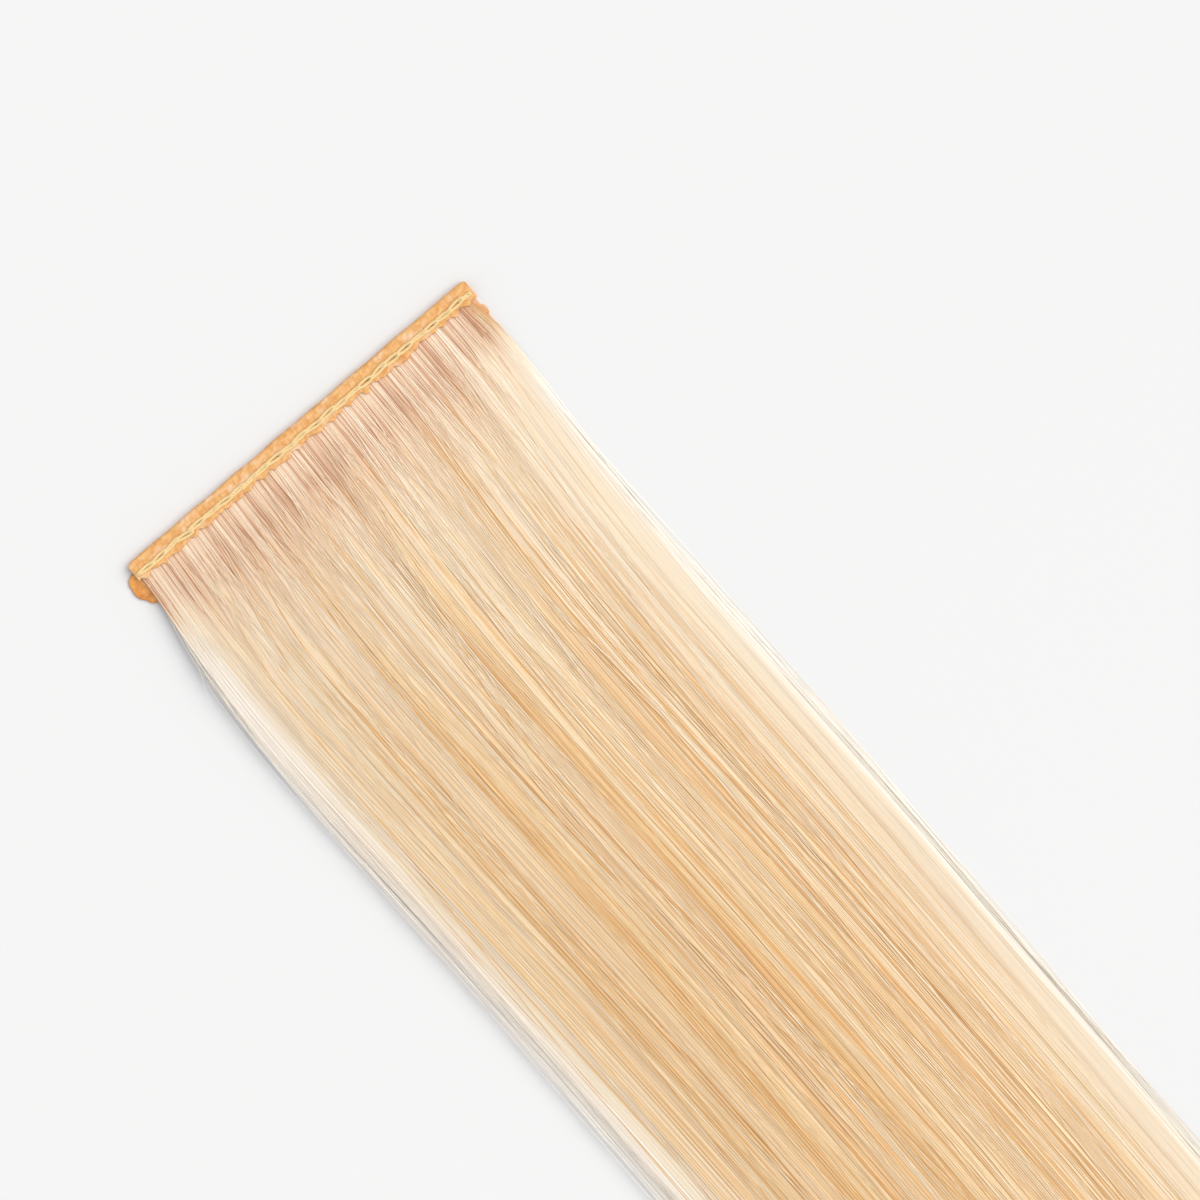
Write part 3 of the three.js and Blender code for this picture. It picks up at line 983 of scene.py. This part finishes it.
def strand_map(count, steps):
    """Map places of every face corner: each strand has a row of its own, read along its length."""
    row = np.arange(count)[:, None, None]
    along = np.linspace(*MAP_ENDS, steps)
    walls = np.empty((count, steps - 1, SIDES, 4, 2))
    walls[..., (0, 1), 0] = along[None, :-1, None, None]
    walls[..., (2, 3), 0] = along[None, 1:, None, None]
    walls[..., (0, 3), 1] = (row[..., None] + MAP_ROW[0]) / count
    walls[..., (1, 2), 1] = (row[..., None] + MAP_ROW[1]) / count
    caps = np.empty((count, 2, SIDES, 2))
    caps[..., 0] = along[[0, -1]][None, :, None] + np.array(CAP_ALONG)
    caps[..., 1] = (row + np.array(CAP_ROW)) / count
    return np.concatenate([walls.reshape(-1, 2), caps.reshape(-1, 2)])


def strand_piece(name, strands, hair):
    """One joined mesh of closed three-sided strands that carry their tones and the tape's tint."""
    strands = sort_by_tone(strands)
    count, steps = strands.x.shape
    turn = strands.turn[:, None, None] + np.arange(SIDES) * (2.0 * math.pi / SIDES)
    points = np.empty((count, steps, SIDES, 3))
    points[..., 0] = strands.x[..., None] + strands.radius[..., None] * np.cos(turn)
    points[..., 1] = HEAD_EDGE - strands.reach[..., None]
    rise = strands.radius * strands.flat[:, None]
    points[..., 2] = strands.z[..., None] + rise[..., None] * np.sin(turn)
    corner = np.arange(count * steps * SIDES).reshape(count, steps, SIDES)
    beside = np.roll(corner, -1, axis=2)
    walls = np.stack([corner[:, :-1], beside[:, :-1], beside[:, 1:], corner[:, 1:]], axis=-1)
    walls = walls.reshape(-1, 4)
    caps = np.stack([corner[:, 0, ::-1], corner[:, -1]], axis=1).reshape(-1, SIDES)
    piece = new_piece(name, points, walls.tolist() + caps.tolist(), hair_material(hair))
    mesh = piece.data
    rounded = strands.flat >= SMOOTH_FROM
    smooth = np.concatenate([np.repeat(rounded, (steps - 1) * SIDES), np.repeat(rounded, 2)])
    mesh.polygons.foreach_set("use_smooth", smooth)
    mesh.uv_layers.new(name=BAKE_MAP).uv.foreach_set("vector", strand_map(count, steps).ravel())
    set_attribute(piece, TONE, np.repeat(strands.tone, SIDES))
    set_attribute(piece, ROOT_TONE, np.repeat(strands.root_tone, SIDES))
    set_attribute(piece, TINT, np.repeat(strands.tint, SIDES))
    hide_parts("hair_lock")
    return piece


# Loose hairs beside the lock: where they lie across it, how many and how wide they are, how far behind the
# tape's outer edge they start, leave the lock, would be back and end, how soon and how far they bow out, how
# flat they are, how much of the lock's height they keep and how far they rise above it
LooseGroup = namedtuple(
    "LooseGroup", "side spread hairs width leaves returns ends out tone flat lift rise starts haste",
    defaults=(1.0, 1.0, 0.0, ROOT_REACH, 1.0))
# The loose hairs' pale tones stand partly for light shining through them: painted light
LOOSE_GROUPS = (
    LooseGroup(
        side=-0.958, spread=0.014, hairs=50, width=0.5, leaves=5.0 * MM, returns=300.0 * MM, ends=280.0 * MM,
        out=-1.25 * MM, tone=1.02, flat=0.6, rise=0.3 * MM, haste=0.35),
    LooseGroup(
        side=-0.99, spread=0.01, hairs=3, width=1.0, leaves=8.0 * MM, returns=26.0 * MM, ends=17.0 * MM,
        out=-1.8 * MM, tone=0.95),
    LooseGroup(
        side=0.95, spread=0.014, hairs=46, width=1.0, leaves=5.0 * MM, returns=300.0 * MM, ends=240.0 * MM,
        out=0.65 * MM, tone=0.95, flat=0.12, lift=0.0, starts=5.4 * MM, haste=0.4),
    LooseGroup(
        side=0.97, spread=0.01, hairs=2, width=0.9, leaves=60.0 * MM, returns=240.0 * MM, ends=140.0 * MM,
        out=2.5 * MM, tone=0.95),
    LooseGroup(
        side=-0.97, spread=0.01, hairs=4, width=1.0, leaves=150.0 * MM, returns=380.0 * MM, ends=260.0 * MM,
        out=-3.0 * MM, tone=0.9),
    LooseGroup(
        side=0.97, spread=0.01, hairs=4, width=1.0, leaves=190.0 * MM, returns=420.0 * MM, ends=300.0 * MM,
        out=2.8 * MM, tone=0.9),
)
LOOSE_SIDE_MOST = 0.98
LOOSE_LENGTHS = (0.85, 1.1)
LOOSE_BOWS = (0.0, 1.15)
LOOSE_WANDER = (span(0.05, 0.25), span(40.0, 90.0))
LOOSE_WANDER_SPAN = span(2.0, 20.0)
LOOSE_HEIGHTS = (0.7, 1.0)
LOOSE_RISE_SPAN = span(15.0, 45.0)
LOOSE_TONE_SPREAD = 0.04
LOOSE_TURN = 0.4
BOW_RISE = 0.2 * MM
FLOOR_PILE = 0.06 * MM
PILE_HEIGHTS = (0.3, 1.0)


def grow_loose(group, hair, outline, rng):
    """One group of loose hairs, which follow the lock's side and bow away from it."""
    count = group.hairs
    side = group.side + group.spread * rng.normal(0.0, 1.0, count)
    side = np.clip(side, -LOOSE_SIDE_MOST, LOOSE_SIDE_MOST)
    reach = strand_reach(group.ends * rng.uniform(*LOOSE_LENGTHS, count), group.starts)
    centre = np.interp(reach, outline.reach, outline.centre)
    half = np.interp(reach, outline.reach, outline.half)
    bow = np.clip((reach - group.leaves) / (group.returns - group.leaves), 0.0, 1.0) ** group.haste
    away = np.sin(math.pi * bow) ** 2 * rng.uniform(*LOOSE_BOWS, count)[:, None]
    wander = wave(reach, rng, *LOOSE_WANDER) * smoothstep(*LOOSE_WANDER_SPAN, reach)
    x = centre + side[:, None] * half + group.out * away + wander
    share = rng.uniform(*LOOSE_HEIGHTS, count)[:, None]
    laid = lock_height(outline, reach, side[:, None], share) + BOW_RISE * away
    laid += group.rise * smoothstep(*LOOSE_RISE_SPAN, reach)
    radius = strand_radius(hair, group.width, count, rng)
    pile = FLOOR_PILE * rng.uniform(*PILE_HEIGHTS, count)[:, None]
    settled = (1.0 - group.lift) * smoothstep(LEAVES_HEAD, LIES_LOOSE, reach)
    z = laid + settled * (pile - laid)
    z = np.maximum(z, lowest(radius, group.flat, reach))
    tone = group.tone + rng.normal(0.0, LOOSE_TONE_SPREAD, count)[:, None] + 0.0 * reach
    turn = math.pi / 2 + rng.uniform(-LOOSE_TURN, LOOSE_TURN, count)
    flat = np.full(count, group.flat)
    return Strands(reach, x, z, radius, flat, tone, tone, tape_tint(reach, rng), turn)


def join_strands(parts):
    return Strands(*(np.concatenate(columns) for columns in zip(*parts)))


# The stage
FLOOR_SIZE = 8.0
FLOOR_GRAIN = 0.4
FLOOR_CLOUD = 1.01
SENSOR = 36.0


def floor_material(stage):
    material, tree = new_material("pale_floor")
    clouds = mottle(tree, (FLOOR_GRAIN, FLOOR_GRAIN, FLOOR_GRAIN), detail=1.0)
    pale = tuple(min(1.0, FLOOR_CLOUD * part) for part in stage.floor_colour)
    colour = mix_colours(tree, clouds, stage.floor_colour, pale)
    finish(tree, {"Base Color": colour, "Roughness": 0.7, "Specular IOR Level": 0.2})
    return material


def make_floor(stage):
    half = FLOOR_SIZE / 2
    mesh = bpy.data.meshes.new("floor")
    corners = [(-half, -half, 0), (half, -half, 0), (half, half, 0), (-half, half, 0)]
    mesh.from_pydata(corners, [], [(0, 1, 2, 3)])
    mesh.materials.append(floor_material(stage))
    floor = add_object("floor", mesh)


def make_lights(stage):
    world = bpy.data.worlds.new("studio_fill")
    world.use_nodes = True
    background = world.node_tree.nodes["Background"]
    background.inputs["Color"].default_value = solid_colour(stage.fill_colour)
    background.inputs["Strength"].default_value = stage.fill_strength
    bpy.context.scene.world = world
    sun = bpy.data.lights.new("key", "SUN")
    sun.color = stage.key_colour
    sun.energy = stage.key_strength
    sun.angle = stage.key_softness
    turn = stage.view_roll + stage.key_turn
    level = Vector((math.cos(turn), math.sin(turn), 0.0))
    towards_key = level * math.cos(stage.key_height) + Vector((0.0, 0.0, math.sin(stage.key_height)))
    add_object("key", sun).rotation_euler = towards_key.to_track_quat("Z", "Y").to_euler()


def make_camera(stage):
    lens = bpy.data.cameras.new("camera")
    lens.sensor_width = SENSOR
    lens.lens = SENSOR * stage.view_height / stage.view_width
    lens.clip_start = 0.01
    camera = add_object("camera", lens)
    camera.location = (stage.view_x, stage.view_y, stage.view_height)
    camera.rotation_euler = (0.0, 0.0, stage.view_roll)
    bpy.context.scene.camera = camera


class HAIRTAPE_OT_stage(bpy.types.Operator):
    """Lay the pale floor and set the studio light and the camera"""

    bl_idname = "hairtape.stage"
    bl_label = "Studio Stage"

    def execute(self, context):
        stage = context.scene.hairtape_stage
        make_floor(stage)
        make_lights(stage)
        make_camera(stage)
        context.scene.view_settings.view_transform = "Standard"
        return {"FINISHED"}


class HAIRTAPE_OT_adhesive_tape(bpy.types.Operator):
    """Finish the sticky peach strip under the head"""

    bl_idname = "hairtape.adhesive_tape"
    bl_label = "Adhesive Tape"

    def execute(self, context):
        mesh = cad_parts["adhesive_tape"].data
        mesh.materials.clear()
        mesh.materials.append(adhesive_material(context.scene.hairtape_head))
        return {"FINISHED"}


class HAIRTAPE_OT_folded_band(bpy.types.Operator):
    """Fold the pebbled orange strip over the roots, with its scalloped flange and flattened end; the end and
    the fold's lower half carry painted shade
    """

    bl_idname = "hairtape.folded_band"
    bl_label = "Folded Band"

    def execute(self, context):
        head = context.scene.hairtape_head
        rng = np.random.default_rng(context.scene.hairtape_hair.seed + BAND_SEED)
        outer, inner, bead_and_shade_grid = band_sheet(head, rng)
        points, faces = thick_sheet(outer, inner)
        tab_points, tab_faces = thick_sheet(*band_tab(head, rng), start=len(points))
        band = new_piece(
            "folded_band_sheet", np.concatenate([points, tab_points]), faces + tab_faces,
            band_material(head))
        # Painted shade over the whole flattened end
        pressed = np.concatenate([bead_and_shade_grid.ravel(), bead_and_shade_grid.ravel(), np.ones(len(tab_points))])
        set_attribute(band, BEAD_AND_PAINTED_SHADE, pressed)
        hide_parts("folded_band")
        return {"FINISHED"}


class HAIRTAPE_OT_stitch_row(bpy.types.Operator):
    """Sew the chain of pale thread loops along the band"""

    bl_idname = "hairtape.stitch_row"
    bl_label = "Stitch Row"

    def execute(self, context):
        head = context.scene.hairtape_head
        rng = np.random.default_rng(context.scene.hairtape_hair.seed + THREAD_SEED)
        count = round((SEAM_HIGH.x - SEAM_LOW.x) / head.stitch_pitch)
        points, faces, crests = [], [], []
        for index in range(count):
            path = chain_loop(index, count, head, rng)
            start = sum(len(part) for part in points)
            loop_points, loop_faces, loop_crests = thread_tube(path, head.thread_width / 2, start)
            points.append(loop_points)
            faces += loop_faces
            crests.append(loop_crests)
        thread = new_piece(
            "stitch_thread", np.concatenate(points), faces, thread_material(head))
        set_attribute(thread, PLY_CREST, np.concatenate(crests))
        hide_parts("stitch_row")
        return {"FINISHED"}


class HAIRTAPE_OT_hair_lock(bpy.types.Operator):
    """Grow the lock's strands, layer by layer"""

    bl_idname = "hairtape.hair_lock"
    bl_label = "Hair Lock"

    def execute(self, context):
        hair = context.scene.hairtape_hair
        outline = measure_lock()
        for number, layer in enumerate(LAYERS):
            rng = np.random.default_rng(hair.seed + LAYER_SEED + number)
            strand_piece(layer.name, grow_layer(layer, hair, outline, rng), hair)
        return {"FINISHED"}


class HAIRTAPE_OT_loose_hairs(bpy.types.Operator):
    """Add the few loose hairs that leave the lock's sides"""

    bl_idname = "hairtape.loose_hairs"
    bl_label = "Loose Hairs"

    def execute(self, context):
        hair = context.scene.hairtape_hair
        outline = measure_lock()
        rng = np.random.default_rng(hair.seed + LOOSE_SEED)
        loose = join_strands([grow_loose(group, hair, outline, rng) for group in LOOSE_GROUPS])
        strand_piece("hair_loose", loose, hair)
        return {"FINISHED"}


class HAIRTAPE_PT_sidebar(bpy.types.Panel):
    """Settings and steps of the hair extension"""

    bl_idname = "HAIRTAPE_PT_sidebar"
    bl_label = "Tape-in Hair Extension"
    bl_space_type = "VIEW_3D"
    bl_region_type = "UI"
    bl_category = "Hair Tape"

    def draw(self, context):
        scene = context.scene
        for group in (scene.hairtape_head, scene.hairtape_hair, scene.hairtape_stage):
            box = self.layout.box()
            for name in group.__annotations__:
                box.prop(group, name)
        for step in OPERATORS:
            self.layout.operator(step.bl_idname)


OPERATORS = (
    HAIRTAPE_OT_stage,
    HAIRTAPE_OT_adhesive_tape,
    HAIRTAPE_OT_folded_band,
    HAIRTAPE_OT_stitch_row,
    HAIRTAPE_OT_hair_lock,
    HAIRTAPE_OT_loose_hairs,
)
CLASSES = (HeadSettings, HairSettings, StageSettings, *OPERATORS, HAIRTAPE_PT_sidebar)


def register():
    for item in CLASSES:
        bpy.utils.register_class(item)
    bpy.types.Scene.hairtape_head = PointerProperty(type=HeadSettings)
    bpy.types.Scene.hairtape_hair = PointerProperty(type=HairSettings)
    bpy.types.Scene.hairtape_stage = PointerProperty(type=StageSettings)


def unregister():
    del bpy.types.Scene.hairtape_stage
    del bpy.types.Scene.hairtape_hair
    del bpy.types.Scene.hairtape_head
    for item in reversed(CLASSES):
        bpy.utils.unregister_class(item)


def main():
    register()
    bpy.ops.hairtape.stage()
    bpy.ops.hairtape.adhesive_tape()
    bpy.ops.hairtape.folded_band()
    bpy.ops.hairtape.stitch_row()
    bpy.ops.hairtape.hair_lock()
    bpy.ops.hairtape.loose_hairs()


if __name__ == "__main__":
    main()
